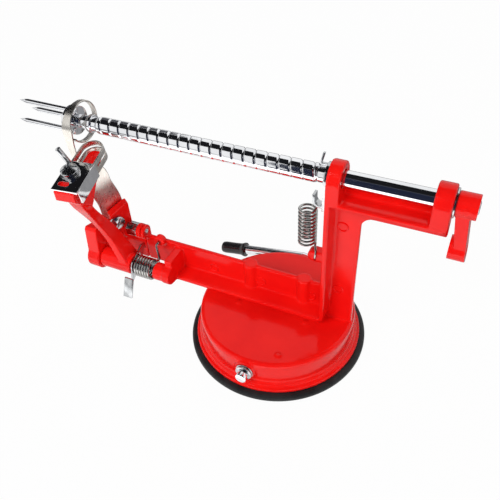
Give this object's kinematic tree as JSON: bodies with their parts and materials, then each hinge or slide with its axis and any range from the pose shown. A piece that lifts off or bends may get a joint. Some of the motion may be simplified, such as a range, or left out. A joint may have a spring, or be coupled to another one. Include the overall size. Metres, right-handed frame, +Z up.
{
  "type": "hand-cranked potato peeler and spiral slicer",
  "caption": "Hand-cranked potato peeler, corer and spiral slicer: feed screw with fork, sprung peel arm, coring blade, suction base with lever.",
  "frame": {"origin": "middle of the suction pad's underside, on the table", "axes": "+X along the feed screw from the fork to the crank, +Y away from the peel arm's side, +Z up"},
  "size_m": [0.2365, 0.1027, 0.1286],
  "materials": {
    "red_paint": "glossy red powder coat",
    "pad_rubber": "satin black rubber",
    "black_vinyl": "dipped black vinyl",
    "chrome": "bright chrome plate",
    "zinc_steel": "bright zinc plate",
    "spring_steel": "drawn wire",
    "blade_steel": "bright rolled stainless",
    "clamp_nickel": "nickel plate"
  },
  "bodies": {
    "frame": {"frame_casting": "red_paint", "suction_pad": "pad_rubber", "pivot_pin": "zinc_steel", "pivot_clip": "zinc_steel", "arm_spring": "spring_steel", "slicer_holder": "red_paint", "slicer_blade": "blade_steel", "slicer_screw": "zinc_steel", "holder_bolt": "zinc_steel", "holder_washer": "zinc_steel", "release_spring": "spring_steel"},
    "carriage": {"crank_washer": "zinc_steel"},
    "screw": {"feed_screw": "chrome", "fork_plate": "chrome", "fork_prongs": "chrome", "crank_arm": "red_paint", "crank_pin": "zinc_steel"},
    "lever": {"lever_rod": "chrome", "lever_grip": "black_vinyl", "rod_washer": "zinc_steel", "rod_clip": "zinc_steel"},
    "stem": {"pad_stem": "zinc_steel"},
    "arm": {"peel_arm": "red_paint", "peel_blade": "blade_steel", "blade_clamp": "clamp_nickel", "clamp_screw": "zinc_steel", "clamp_washer": "zinc_steel", "depth_rod": "zinc_steel"},
    "latch": {"latch_plate": "zinc_steel"},
    "release": {"release_plate": "zinc_steel"}
  },
  "joints": [
    {"name": "feed_slide", "type": "slide", "parent": "frame", "child": "carriage", "axis": [1, 0, 0], "range_m": [0, 0.112]},
    {"name": "screw_spin", "type": "hinge", "parent": "carriage", "child": "screw", "pos_m": [0, 0, 0.1173], "axis": [1, 0, 0], "range_deg": [-10, 7090]},
    {"name": "lever_turn", "type": "hinge", "parent": "frame", "child": "lever", "pos_m": [0, 0, 0.0162], "axis": [0, 1, 0], "range_deg": [0, 180]},
    {"name": "stem_lift", "type": "slide", "parent": "frame", "child": "stem", "axis": [0, 0, 1], "range_m": [0, 0.002]},
    {"name": "arm_swing", "type": "hinge", "parent": "frame", "child": "arm", "pos_m": [-0.099, -0.011, 0.0328], "axis": [1, 0, 0], "range_deg": [0, 38], "stiffness_Nm_per_rad": 0.2, "springref_deg": -34.38},
    {"name": "latch_turn", "type": "hinge", "parent": "frame", "child": "latch", "pos_m": [-0.0848, -0.011, 0.0328], "axis": [1, 0, 0], "range_deg": [0, 12], "stiffness_Nm_per_rad": 0.01, "springref_deg": -17.19},
    {"name": "release_slide", "type": "slide", "parent": "frame", "child": "release", "axis": [0, 0, 1], "range_m": [0, 0.002], "stiffness_N_per_m": 800, "springref_m": -0.003, "deforming": ["release_spring"]}
  ],
  "couplings": [
    {"joint": "screw_spin", "follows": "feed_slide", "rad_per_m": 1102.3},
    {"joint": "stem_lift", "follows": "lever_turn", "m_per_rad": 0.00063662}
  ]
}
